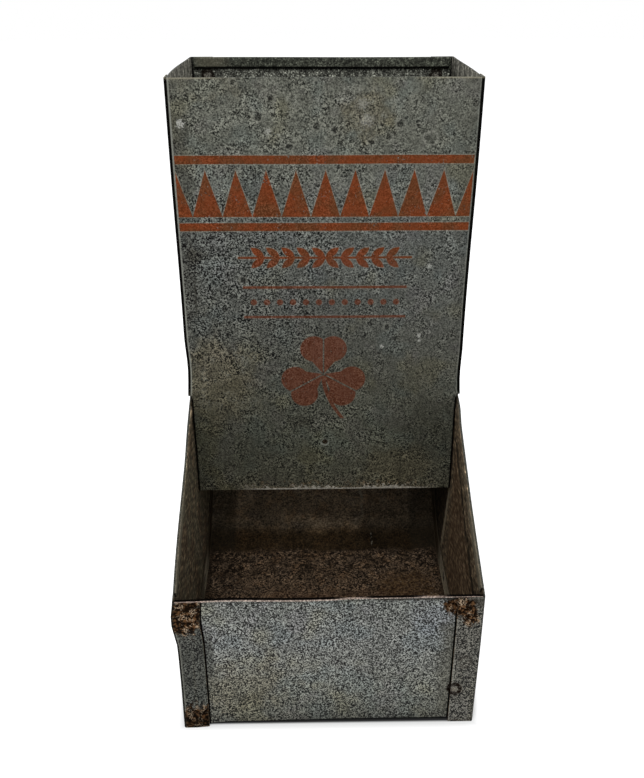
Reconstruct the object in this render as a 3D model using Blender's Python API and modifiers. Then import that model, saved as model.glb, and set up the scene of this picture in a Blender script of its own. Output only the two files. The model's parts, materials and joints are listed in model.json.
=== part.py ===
"""A rabbit feeder of galvanised sheet steel: an open hopper that drops feed into a trough in front of it.

Five folded sheets make it: two side panels, a back panel, the hopper's front and the trough's pan. They lap
each other on flanges, and spot welds hold the laps. X runs across the feeder, -Y is its front, and it stands
on the lower edges of its side panels at z = 0.
"""

import math

import bmesh
import bpy
from mathutils import Matrix, Vector

# Driving dimensions, in metres

WIDTH = 0.1524  # over the two side panels
HEIGHT = 0.3152
TROUGH_REACH = 0.1037  # from the trough's front to the hopper's front
HOPPER_DEPTH = 0.0949  # from the hopper's front to the rear flanges
TROUGH_HEIGHT = 0.0831  # the trough's front edge above the ground
SLOPE_RISE = 0.0599  # how far a side panel's edge climbs from the trough's front to the hopper
FEED_GAP_TOP = 0.0810  # the hopper front's lower edge above the ground
BASE_CLEARANCE = 0.0034  # below the trough's front and the back panel

SHEET = 0.0007  # 24 gauge galvanised steel
JOINT_GAP = 0.0003  # between two lapped sheets
INSIDE_BEND = 0.0004  # inside radius of a sharp fold
HEM_GAP = 0.0003  # between the two leaves of a hem
HEM = 0.0060  # width of the folded edges
HEM_NOTCH = 0.0015  # by which the back panel's hem stops short at each end

SIDE_FLANGE = 0.0132  # of a side panel, over the trough's front and behind the back panel
FLANGE_TOP_STEP = 0.0009  # by which the front flanges stop short of the trough's front edge
HOPPER_FLANGE = 0.0132  # of the hopper's front, outside the side panels
TONGUE_CLEARANCE = 0.0006  # between the hopper front's lower part and a side panel

RAMP_FOOT_HEIGHT = 0.0160  # where the pan's floor turns up into its ramp
RAMP_FOOT_FROM_REAR = 0.0656
RAMP_TOP_HEIGHT = 0.0650  # where the ramp meets the back panel
RAMP_BEND = 0.0090  # mean radius at the ramp's foot
PAN_LAP = 0.0150  # of the pan up the back panel
PAN_FLANGE = 0.0120  # the pan's upturned side edges
CORNER_RELIEF = 0.0020  # length left out at the end of a flange

GAUGE_HOLE = 0.0033  # diameter of the small hole in the hopper's front
GAUGE_HOLE_HEIGHT = 0.1134

WELD = 0.0050  # diameter of a spot weld
WELD_DISH = 0.0001  # depth of the hollow that an electrode leaves
WELD_RIM = 0.0007  # width of the raised ring round it


# Lower spot welds on the front flanges: distance from the flange's free edge, and height above the ground
FRONT_WELDS = {
    "left": ((0.0066, 0.0093),),
    "right": ((0.0034, 0.0232), (0.0058, 0.0418)),
}
TOP_WELD_INSETS = {"left": 0.0066, "right": 0.0050}  # the topmost ones, from the flange's free edge
TOP_WELD_DROP = 0.0101  # and below the trough's front edge
REAR_WELD_INSET = 0.0034  # from the rear flange's free edge
REAR_WELD_FOOT = 0.0240  # the lowest one above the ground
REAR_WELD_TOP = 0.0102  # the highest one below the top
REAR_WELD_COUNT = 4
HOPPER_WELD_MARGIN = 0.0135  # from either end of the hopper's side flanges
HOPPER_WELD_COUNT = 3
PAN_WELD_FROM_FRONT = 0.0300
PAN_WELD_BEFORE_RAMP = 0.0350
RAMP_WELD_FROM_REAR = 0.0300
LAP_WELD_SPACING = 0.0480
LAP_WELD_COUNT = 3

BEND_STEPS = 3
HEM_STEPS = 6
RAMP_BEND_STEPS = 6
WELD_SIDES = 16
HOLE_SIDES = 20

# Dimensions that follow from those above

DEPTH = TROUGH_REACH + HOPPER_DEPTH
FRONT = -DEPTH / 2
REAR = DEPTH / 2
HOPPER_FRONT = FRONT + TROUGH_REACH
HALF_SHEET = SHEET / 2
BEND = INSIDE_BEND + HALF_SHEET  # a fold's radius at the middle of the sheet
HEM_BEND = (SHEET + HEM_GAP) / 2
HEM_CREST = HEM_BEND + HALF_SHEET  # from where a hem starts to turn to its outermost line
EDGE_INSET = max(JOINT_GAP, INSIDE_BEND)  # an edge inside a fold stops where the fold starts
SIDE_INNER = WIDTH / 2 - SHEET  # a side panel's inner face
WELD_LENGTH = 2 * SHEET + JOINT_GAP  # through both sheets of a lap
WELD_HOLE = WELD + 2 * JOINT_GAP

SLOPE_ANGLE = math.atan2(SLOPE_RISE, TROUGH_REACH)
SLOPE_UP = Vector((0, -math.sin(SLOPE_ANGLE), math.cos(SLOPE_ANGLE)))

ACROSS = Vector((1, 0, 0))
BACK = Vector((0, 1, 0))
UP = Vector((0, 0, 1))


def new_collection(name):
    collection = bpy.data.collections.new(name)
    bpy.context.scene.collection.children.link(collection)
    return collection


def new_material(name, colour, roughness, metallic):
    material = bpy.data.materials.new(name)
    material.use_nodes = True
    shader = material.node_tree.nodes["Principled BSDF"]
    shader.inputs["Base Color"].default_value = (*colour, 1)
    shader.inputs["Roughness"].default_value = roughness
    shader.inputs["Metallic"].default_value = metallic
    return material


def new_object(name, bm, collection):
    """Turns a bmesh into an object of that name."""
    mesh = bpy.data.meshes.new(name)
    bm.to_mesh(mesh)
    bm.free()
    obj = bpy.data.objects.new(name, mesh)
    collection.objects.link(obj)
    return obj


# Sheet metal: a flat face at the middle of the sheet, its edges folded out, and then its thickness


def flat_face(bm, points):
    """One flat face, and its corners in the order given."""
    corners = [bm.verts.new(point) for point in points]
    bm.faces.new(corners)
    return corners


def edge_between(first, second):
    return next(edge for edge in first.link_edges if second in edge.verts)


def extend(bm, edges, move):
    """Carries the sheet on from these edges, and returns the new outer edges."""
    made = bmesh.ops.extrude_edge_only(bm, edges=edges)["geom"]
    verts = {item for item in made if isinstance(item, bmesh.types.BMVert)}
    bmesh.ops.translate(bm, vec=move, verts=list(verts))
    return [item for item in made if isinstance(item, bmesh.types.BMEdge) and set(item.verts) <= verts]


def fold(bm, edges, outward, towards, radius, angle, steps, run):
    """Folds the sheet along these edges by an angle, from the way it runs towards another, then runs on flat.

    It returns the rows of edges that the fold passes through, the last one being the new outer edge.
    """

    def on_bend(turned):
        return radius * (math.sin(turned) * outward + (1 - math.cos(turned)) * towards)

    rows = []
    for step in range(steps):
        move = on_bend(angle * (step + 1) / steps) - on_bend(angle * step / steps)
        edges = extend(bm, edges, move)
        rows.append(edges)
    rows.append(extend(bm, edges, run * (math.cos(angle) * outward + math.sin(angle) * towards)))
    return rows


def flange(bm, edges, outward, towards, width):
    """A square fold; its width is over the sheet that it leaves."""
    run = width - HALF_SHEET - BEND
    return fold(bm, edges, outward, towards, BEND, math.pi / 2, BEND_STEPS, run)


def hem(bm, edges, outward, towards):
    """An edge folded flat on itself."""
    return fold(bm, edges, outward, towards, HEM_BEND, math.pi, HEM_STEPS, HEM - HEM_CREST)


def finish_sheet(name, bm, material, collection, cutters):
    """Gives the folded surface its thickness, half to each side, and makes its holes."""
    bmesh.ops.recalc_face_normals(bm, faces=bm.faces[:])
    obj = new_object(name, bm, collection)
    obj.data.materials.append(material)
    solidify = obj.modifiers.new("thickness", "SOLIDIFY")
    solidify.thickness = SHEET
    solidify.offset = 0
    solidify.use_even_offset = True
    for cutter in cutters:
        cut = obj.modifiers.new(cutter.name, "BOOLEAN")
        cut.operation = "DIFFERENCE"
        cut.solver = "EXACT"
        cut.object = cutter
    return obj


# The pan's section, worked out in the plane of y and z


def direction(angle):
    return Vector((0, math.cos(angle), math.sin(angle)))


def pan_section():
    """Where the pan's floor starts and ends, the slopes of floor and ramp, and the ramp's flat length."""
    wall = FRONT + SHEET + JOINT_GAP + HALF_SHEET
    lap = REAR - 2 * (SHEET + JOINT_GAP) - HALF_SHEET
    foot = Vector((0, REAR - RAMP_FOOT_FROM_REAR, RAMP_FOOT_HEIGHT + HALF_SHEET))
    top = Vector((0, lap, RAMP_TOP_HEIGHT))
    centre = Vector((0, wall + BEND, BASE_CLEARANCE + HALF_SHEET + BEND))
    to_foot = foot - centre
    floor_angle = math.atan2(to_foot.z, to_foot.y) + math.asin(BEND / to_foot.length)
    to_top = top - foot
    ramp_angle = math.atan2(to_top.z, to_top.y)
    floor_start = centre - BEND * direction(floor_angle + math.pi / 2)
    foot_trim = RAMP_BEND * math.tan((ramp_angle - floor_angle) / 2)
    top_trim = BEND * math.tan((math.pi / 2 - ramp_angle) / 2)
    floor_end = foot - foot_trim * direction(floor_angle)
    return {
        "floor_start": floor_start,
        "floor_end": floor_end,
        "floor_angle": floor_angle,
        "ramp_angle": ramp_angle,
        "ramp_run": to_top.length - foot_trim - top_trim,
        "top_trim": top_trim,
        "foot": foot,
    }


PAN = pan_section()


def pan_height(reach_y):
    """The pan's upper face at this y, on its floor or its ramp."""
    foot = PAN["foot"]
    angle = PAN["ramp_angle"] if reach_y > foot.y else PAN["floor_angle"]
    return foot.z + (reach_y - foot.y) * math.tan(angle) + HALF_SHEET / math.cos(angle)


def slope_edge(y):
    """The line at this y where a side panel's sloped edge starts to turn into its hem."""
    return TROUGH_HEIGHT + (y - FRONT) * math.tan(SLOPE_ANGLE) - HEM_CREST / math.cos(SLOPE_ANGLE)


WEB_FRONT = HOPPER_FRONT + SHEET + EDGE_INSET  # a side panel's front edge inside the hopper front's fold
WRAP_FOOT = slope_edge(WEB_FRONT) + HEM_CREST / math.cos(SLOPE_ANGLE) + JOINT_GAP  # where that fold starts


# The sheets


def side_panel(side, material, collection, cutters):
    """One side of trough and hopper, with flanges at front and rear and a hem along its sloped edge."""
    sign = -1 if side == "left" else 1
    inward = -sign * ACROSS
    x = sign * (WIDTH / 2 - HALF_SHEET)
    front_fold = FRONT + HALF_SHEET + BEND
    rear_fold = REAR - HALF_SHEET - BEND
    hem_depth = (HEM - HEM_CREST) * math.sin(SLOPE_ANGLE)
    hem_start = FRONT + 2 * SHEET + JOINT_GAP + 2 * HEM_BEND + CORNER_RELIEF
    hem_end = HOPPER_FRONT - hem_depth - CORNER_RELIEF
    outline = (
        (front_fold, 0),
        (rear_fold, 0),
        (rear_fold, HEIGHT),
        (WEB_FRONT, HEIGHT),
        (WEB_FRONT, slope_edge(WEB_FRONT)),
        (hem_end, slope_edge(hem_end)),
        (hem_start, slope_edge(hem_start)),
        (front_fold, slope_edge(front_fold)),
        (front_fold, TROUGH_HEIGHT - FLANGE_TOP_STEP),
    )
    bm = bmesh.new()
    corners = flat_face(bm, [(x, y, z) for y, z in outline])
    flange(bm, [edge_between(corners[0], corners[-1])], -BACK, inward, SIDE_FLANGE)
    flange(bm, [edge_between(corners[1], corners[2])], BACK, inward, SIDE_FLANGE)
    hem(bm, [edge_between(corners[5], corners[6])], SLOPE_UP, inward)
    return finish_sheet(f"{side}_side_panel", bm, material, collection, cutters)


def back_panel(material, collection, cutters):
    """The flat back, with a hem turned forwards at its top."""
    y = REAR - SHEET - JOINT_GAP - HALF_SHEET
    half = SIDE_INNER - EDGE_INSET
    hem_half = half - HEM_NOTCH
    top = HEIGHT - HEM_CREST
    notch = HEIGHT - HEM - HEM_NOTCH
    outline = (
        (-half, BASE_CLEARANCE),
        (half, BASE_CLEARANCE),
        (half, notch),
        (hem_half, notch),
        (hem_half, top),
        (-hem_half, top),
        (-hem_half, notch),
        (-half, notch),
    )
    bm = bmesh.new()
    corners = flat_face(bm, [(x, y, z) for x, z in outline])
    hem(bm, [edge_between(corners[4], corners[5])], UP, -BACK)
    return finish_sheet("back_panel", bm, material, collection, cutters)


def hopper_front_panel(material, collection, cutters):
    """The hopper's front: wrapped round the side panels above, and a flat tongue between them below."""
    y = HOPPER_FRONT + HALF_SHEET
    upper_half = WIDTH / 2 + JOINT_GAP + HALF_SHEET - BEND
    tongue_half = SIDE_INNER - TONGUE_CLEARANCE
    outline = (
        (-tongue_half, FEED_GAP_TOP),
        (tongue_half, FEED_GAP_TOP),
        (tongue_half, WRAP_FOOT),
        (upper_half, WRAP_FOOT),
        (upper_half, HEIGHT),
        (-upper_half, HEIGHT),
        (-upper_half, WRAP_FOOT),
        (-tongue_half, WRAP_FOOT),
    )
    bm = bmesh.new()
    corners = flat_face(bm, [(x, y, z) for x, z in outline])
    flange(bm, [edge_between(corners[3], corners[4])], ACROSS, BACK, HOPPER_FLANGE)
    flange(bm, [edge_between(corners[5], corners[6])], -ACROSS, BACK, HOPPER_FLANGE)
    return finish_sheet("hopper_front_panel", bm, material, collection, cutters)


def trough_pan(material, collection, cutters):
    """Front wall, floor and ramp in one sheet, with upturned sides and a lap up the back panel."""
    wall_half = SIDE_INNER - EDGE_INSET
    floor_half = SIDE_INNER - JOINT_GAP - HALF_SHEET - BEND
    along = direction(PAN["floor_angle"])
    start = PAN["floor_start"]
    relief = start + CORNER_RELIEF * along
    end = PAN["floor_end"]
    outline = (
        start - wall_half * ACROSS,
        start + wall_half * ACROSS,
        relief + wall_half * ACROSS,
        relief + floor_half * ACROSS,
        end + floor_half * ACROSS,
        end - floor_half * ACROSS,
        relief - floor_half * ACROSS,
        relief - wall_half * ACROSS,
    )
    bm = bmesh.new()
    corners = flat_face(bm, outline)
    up_from_floor = direction(PAN["floor_angle"] + math.pi / 2)
    wall_turn = math.pi / 2 + PAN["floor_angle"]
    wall_foot = BASE_CLEARANCE + HALF_SHEET + BEND
    wall_run = TROUGH_HEIGHT - HEM_CREST - wall_foot
    front_edge = [edge_between(corners[0], corners[1])]
    wall = fold(bm, front_edge, -along, up_from_floor, BEND, wall_turn, BEND_STEPS, wall_run)
    hem(bm, wall[-1], UP, BACK)

    ramp_turn = PAN["ramp_angle"] - PAN["floor_angle"]
    ramp_run = PAN["ramp_run"] - CORNER_RELIEF
    back_edge = [edge_between(corners[4], corners[5])]
    ramp = fold(bm, back_edge, along, up_from_floor, RAMP_BEND, ramp_turn, RAMP_BEND_STEPS, ramp_run)
    ramp_along = direction(PAN["ramp_angle"])
    ramp_up = direction(PAN["ramp_angle"] + math.pi / 2)
    ramp_end = extend(bm, ramp[-1], CORNER_RELIEF * ramp_along)
    lap_turn = math.pi / 2 - PAN["ramp_angle"]
    lap_run = PAN_LAP - PAN["top_trim"]
    fold(bm, ramp_end, ramp_along, ramp_up, BEND, lap_turn, BEND_STEPS, lap_run)

    crossings = [back_edge] + ramp
    for sign, floor_corners in ((1, (3, 4)), (-1, (6, 5))):
        rim = [edge_between(corners[floor_corners[0]], corners[floor_corners[1]])]
        ends = [max(row[0].verts, key=lambda vert: sign * vert.co.x) for row in crossings]
        rim += [edge_between(first, second) for first, second in zip(ends, ends[1:])]
        flange(bm, rim, sign * ACROSS, UP, PAN_FLANGE)
    return finish_sheet("trough_pan", bm, material, collection, cutters)


# Spot welds, each a nugget through the two sheets that it holds


def turn_to(axis):
    """The rotation that lays a cylinder's own axis along another."""
    return UP.rotation_difference(axis).to_matrix().to_4x4()


def weld_holes(name, places, collection, diameter=WELD_HOLE, sides=WELD_SIDES):
    """A cutter of one round bar for each place."""
    bm = bmesh.new()
    for centre, axis in places:
        bmesh.ops.create_cone(
            bm,
            cap_ends=True,
            segments=sides,
            radius1=diameter / 2,
            radius2=diameter / 2,
            depth=WELD_LENGTH + 2 * SHEET,
            matrix=Matrix.Translation(centre) @ turn_to(axis),
        )
    cutter = new_object(name, bm, collection)
    cutter.hide_render = True
    cutter.display_type = "WIRE"
    return cutter


def weld_nugget(name, centre, axis, material, collection):
    """A short bar with a shallow round hollow in each end."""
    bm = bmesh.new()
    bmesh.ops.create_cone(
        bm, cap_ends=True, segments=WELD_SIDES, radius1=WELD / 2, radius2=WELD / 2, depth=WELD_LENGTH
    )
    ends = [face for face in bm.faces if abs(face.normal.z) > 0.5]
    for end in ends:
        inwards = -WELD_DISH * end.normal
        bmesh.ops.inset_region(bm, faces=[end], thickness=WELD_RIM)
        bmesh.ops.translate(bm, vec=inwards, verts=end.verts[:])
    nugget = new_object(name, bm, collection)
    nugget.data.materials.append(material)
    nugget.data.shade_smooth()
    nugget.data.set_sharp_from_angle(angle=math.radians(30))
    nugget.location = centre
    nugget.rotation_euler = turn_to(axis).to_euler()
    return nugget


def spread(first, last, count):
    """Heights evenly spaced from the first to the last."""
    return [first + (last - first) * step / (count - 1) for step in range(count)]


def weld_places():
    """Every spot weld's name, centre and axis, by the lap that it holds."""
    sides = {"left": -1, "right": 1}
    rear_heights = spread(REAR_WELD_FOOT, HEIGHT - REAR_WELD_TOP, REAR_WELD_COUNT)
    hopper_heights = spread(WRAP_FOOT + HOPPER_WELD_MARGIN, HEIGHT - HOPPER_WELD_MARGIN, HOPPER_WELD_COUNT)
    floor_welds = (FRONT + PAN_WELD_FROM_FRONT, PAN["foot"].y - PAN_WELD_BEFORE_RAMP)
    pan_welds = (*floor_welds, REAR - RAMP_WELD_FROM_REAR)
    lap_middle = SHEET + JOINT_GAP / 2
    free_edge = WIDTH / 2 - SIDE_FLANGE
    places = {"front": [], "rear": [], "hopper": [], "pan": [], "lap": []}
    for side, sign in sides.items():
        top_weld = (TOP_WELD_INSETS[side], TROUGH_HEIGHT - TOP_WELD_DROP)
        for number, (inset, height) in enumerate((*FRONT_WELDS[side], top_weld), 1):
            centre = Vector((sign * (free_edge + inset), FRONT + lap_middle, height))
            places["front"].append((f"front_weld_{side}_{number}", centre, BACK))
        for number, height in enumerate(rear_heights, 1):
            centre = Vector((sign * (free_edge + REAR_WELD_INSET), REAR - lap_middle, height))
            places["rear"].append((f"rear_weld_{side}_{number}", centre, BACK))
        for number, height in enumerate(hopper_heights, 1):
            y = HOPPER_FRONT + HOPPER_FLANGE / 2
            centre = Vector((sign * (WIDTH / 2 + JOINT_GAP / 2), y, height))
            places["hopper"].append((f"hopper_weld_{side}_{number}", centre, ACROSS))
        for number, y in enumerate(pan_welds, 1):
            centre = Vector((sign * (SIDE_INNER - JOINT_GAP / 2), y, pan_height(y) + PAN_FLANGE / 2))
            places["pan"].append((f"pan_weld_{side}_{number}", centre, ACROSS))
    for number in range(LAP_WELD_COUNT):
        x = (number - (LAP_WELD_COUNT - 1) / 2) * LAP_WELD_SPACING
        y = REAR - SHEET - JOINT_GAP - lap_middle
        centre = Vector((x, y, RAMP_TOP_HEIGHT + PAN_LAP / 2))
        places["lap"].append((f"lap_weld_{number + 1}", centre, BACK))
    return places


def build():
    for obj in list(bpy.data.objects):
        bpy.data.objects.remove(obj)
    parts = new_collection("rabbit_feeder")
    cutters = new_collection("cutters")
    materials = {
        "side": new_material("side_steel", (0.085, 0.080, 0.065), 0.55, 0.6),
        "back": new_material("back_steel", (0.095, 0.095, 0.080), 0.55, 0.6),
        "hopper": new_material("hopper_steel", (0.105, 0.105, 0.088), 0.5, 0.6),
        "pan": new_material("pan_steel", (0.120, 0.122, 0.110), 0.5, 0.6),
        "weld": new_material("weld_steel", (0.075, 0.045, 0.025), 0.8, 0.3),
    }

    places = weld_places()
    holes = {}
    for lap, welds in places.items():
        holes[lap] = weld_holes(f"{lap}_weld_holes", [place[1:] for place in welds], cutters)
    gauge = Vector((0, HOPPER_FRONT + HALF_SHEET, GAUGE_HOLE_HEIGHT))
    holes["gauge"] = weld_holes("gauge_hole", [(gauge, BACK)], cutters, GAUGE_HOLE, HOLE_SIDES)

    sheets = []
    side_holes = [holes["front"], holes["rear"], holes["hopper"], holes["pan"]]
    for side in ("left", "right"):
        sheets.append(side_panel(side, materials["side"], parts, side_holes))
    sheets.append(back_panel(materials["back"], parts, [holes["rear"], holes["lap"]]))
    sheets.append(hopper_front_panel(materials["hopper"], parts, [holes["hopper"], holes["gauge"]]))
    sheets.append(trough_pan(materials["pan"], parts, [holes["front"], holes["pan"], holes["lap"]]))

    nuggets = []
    for welds in places.values():
        for name, centre, axis in welds:
            nuggets.append(weld_nugget(name, centre, axis, materials["weld"], parts))

    feeder = bpy.data.objects.new("feeder", None)
    parts.objects.link(feeder)
    for piece in sheets + nuggets:
        piece.parent = feeder


build()
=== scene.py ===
"""Looks of the rabbit feeder: dull galvanised sheet with a worn red print, rust and feed dust.

Lengths are millimetres in the row's frame, unless a name says otherwise: x across, y from front to
back, z up.
"""

import json
import math

import bmesh
import bpy
from mathutils import Matrix, Vector, noise


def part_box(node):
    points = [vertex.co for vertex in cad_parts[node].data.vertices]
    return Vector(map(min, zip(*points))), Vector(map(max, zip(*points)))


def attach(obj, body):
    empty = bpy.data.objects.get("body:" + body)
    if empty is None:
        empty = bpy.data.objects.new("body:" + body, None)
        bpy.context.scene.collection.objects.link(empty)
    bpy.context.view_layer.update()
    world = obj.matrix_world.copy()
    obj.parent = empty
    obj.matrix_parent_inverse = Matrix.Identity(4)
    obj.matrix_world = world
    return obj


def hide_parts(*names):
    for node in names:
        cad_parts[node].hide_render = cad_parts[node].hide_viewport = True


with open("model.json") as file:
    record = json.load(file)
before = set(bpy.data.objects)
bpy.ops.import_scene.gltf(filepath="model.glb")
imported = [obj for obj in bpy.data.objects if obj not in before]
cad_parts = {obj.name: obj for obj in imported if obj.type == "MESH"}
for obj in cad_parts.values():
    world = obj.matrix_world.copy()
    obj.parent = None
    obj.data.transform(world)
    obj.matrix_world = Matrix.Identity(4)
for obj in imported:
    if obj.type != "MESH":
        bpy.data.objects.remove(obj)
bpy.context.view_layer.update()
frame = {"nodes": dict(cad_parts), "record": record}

MM = 0.001


def place_of(node):
    """A node's lowest and highest corner."""
    low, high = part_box(node)
    return low / MM, high / MM


# Places read from the frame

hopper_low, hopper_high = place_of("hopper_front_panel")
side_low, side_high = place_of("right_side_panel")
pan_low, pan_high = place_of("trough_pan")

FRONT = side_low.y
REAR = side_high.y
TOP = side_high.z
SIDE = side_high.x
FLANGE_EDGE = side_low.x
HOPPER_FRONT = hopper_low.y
HOPPER_SIDE = hopper_high.x
FEED_GAP = hopper_low.z
TROUGH_TOP = pan_high.z
WALL = pan_low.y
PAN_SIDE = pan_high.x

# Sizes that the frame doesn't give: the sheet's thickness, how far back the ramp starts, the height down to
# which the hopper's front wraps the sides, the rise of the sides' sloped edge and the small hole's height

SHEET = 0.7
RAMP_FOOT = 33.7
WRAP_FOOT = 143.9
SLOPE = 0.65
HOLE_HEIGHT = 113.4


def srgb(red, green, blue):
    """A colour written as it looks, 0 to 255, as the linear values that a shader takes."""

    def linear(value):
        value /= 255
        return value / 12.92 if value <= 0.04045 else ((value + 0.055) / 1.055) ** 2.4

    return (linear(red), linear(green), linear(blue))


# A field is a value that varies over the surface; arithmetic on fields makes shader nodes


class Field:
    """A shader socket that can be added, multiplied and compared."""

    def __init__(self, socket):
        self.socket = socket

    def __add__(self, other):
        return calculate("ADD", self, other)

    def __radd__(self, other):
        return calculate("ADD", other, self)

    def __sub__(self, other):
        return calculate("SUBTRACT", self, other)

    def __rsub__(self, other):
        return calculate("SUBTRACT", other, self)

    def __mul__(self, other):
        return calculate("MULTIPLY", self, other)

    def __rmul__(self, other):
        return calculate("MULTIPLY", other, self)

    def __truediv__(self, other):
        return calculate("DIVIDE", self, other)

    def __abs__(self):
        return calculate("ABSOLUTE", self)


def plug(socket, value):
    """Gives a socket a field, a colour or a number."""
    if isinstance(value, Field):
        socket.id_data.links.new(value.socket, socket)
    elif isinstance(value, tuple) and socket.type == "RGBA":
        socket.default_value = (*value, 1)
    else:
        socket.default_value = value


def calculate(operation, *values):
    """A maths node over fields and numbers, of which at least one is a field."""
    tree = next(value.socket.id_data for value in values if isinstance(value, Field))
    node = tree.nodes.new("ShaderNodeMath")
    node.operation = operation
    for socket, value in zip(node.inputs, values):
        plug(socket, value)
    return Field(node.outputs[0])


def larger(first, *others):
    """The largest of some fields and numbers, wherever that is."""
    for other in others:
        first = calculate("MAXIMUM", first, other)
    return first


def reach(*offsets):
    """The length of a vector."""
    return calculate("SQRT", sum((offset * offset for offset in offsets[1:]), offsets[0] * offsets[0]))


def step(value, low, high):
    """0 on low's side, 1 on high's side and smooth between them; low may be the larger one."""
    tree = value.socket.id_data
    node = tree.nodes.new("ShaderNodeMapRange")
    node.interpolation_type = "SMOOTHSTEP"
    plug(node.inputs["Value"], value)
    plug(node.inputs["From Min"], min(low, high))
    plug(node.inputs["From Max"], max(low, high))
    plug(node.inputs["To Min"], 1.0 if low > high else 0.0)
    plug(node.inputs["To Max"], 0.0 if low > high else 1.0)
    return Field(node.outputs["Result"])


def between(value, low, high, soft):
    """1 from low to high, fading to 0 across soft on both sides of each."""
    return step(value, low - soft, low + soft) * step(value, high + soft, high - soft)


def blend(amount, first, second):
    """The first colour where amount is 0 and the second where it is 1."""
    tree = amount.socket.id_data
    node = tree.nodes.new("ShaderNodeMix")
    node.data_type = "RGBA"
    node.clamp_factor = True
    plug(node.inputs[0], amount)
    plug(node.inputs[6], first)
    plug(node.inputs[7], second)
    return Field(node.outputs[2])


def blend_value(amount, first, second):
    """The first value where amount is 0 and the second where it is 1."""
    return first + amount * (second - first)


def combined(operation, colour, other, socket):
    """A vector maths node over a colour and a field."""
    node = other.socket.id_data.nodes.new("ShaderNodeVectorMath")
    node.operation = operation
    plug(node.inputs[0], colour)
    plug(node.inputs[socket], other)
    return Field(node.outputs[0])


def scaled(colour, amount):
    """A colour made lighter or darker by a field."""
    return combined("SCALE", colour, amount, "Scale")


def varied(colour, change):
    """A colour made lighter or darker by a field of logarithms."""
    return scaled(colour, calculate("EXPONENT", change))


def tinted(colour, other):
    """Two colours multiplied."""
    return combined("MULTIPLY", colour, other, 1)


def stain(colour, amount, other, tone):
    """A colour, and the other one as srgb takes it, with the surface's grain, where amount is 1."""
    return blend(amount, colour, scaled(srgb(*other), tone))


def shades(value, stops):
    """Colours along a value: stops are pairs of a value and a colour, in rising order."""
    tree = value.socket.id_data
    low, high = stops[0][0], stops[-1][0]
    node = tree.nodes.new("ShaderNodeValToRGB")
    plug(node.inputs[0], (value - low) / (high - low))
    elements = node.color_ramp.elements
    for _ in stops[2:]:
        elements.new(0.5)
    for element, (place, _) in zip(elements, stops):
        element.position = (place - low) / (high - low)
    for element, (_, colour) in zip(elements, stops):
        element.color = (*colour, 1)
    return Field(node.outputs[0])


def new_material(name):
    """A material, its node tree and its shader."""
    material = bpy.data.materials.new(name)
    material.use_nodes = True
    return material, material.node_tree, material.node_tree.nodes["Principled BSDF"]


# The attribute that keeps each vertex's place, in millimetres, before its sheet is bent
UNBENT = "unbent"
# How far each layer of noise is moved from the one before, so that no two look alike
LAYER_SHIFT = (7.31, 3.17, 5.93)
SLANT_SHIFT = 5.13
# Makes noise mostly fill -1 to 1
NOISE_GAIN = 4.0
SPECULAR = 0.1
BUMP = 0.3


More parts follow.
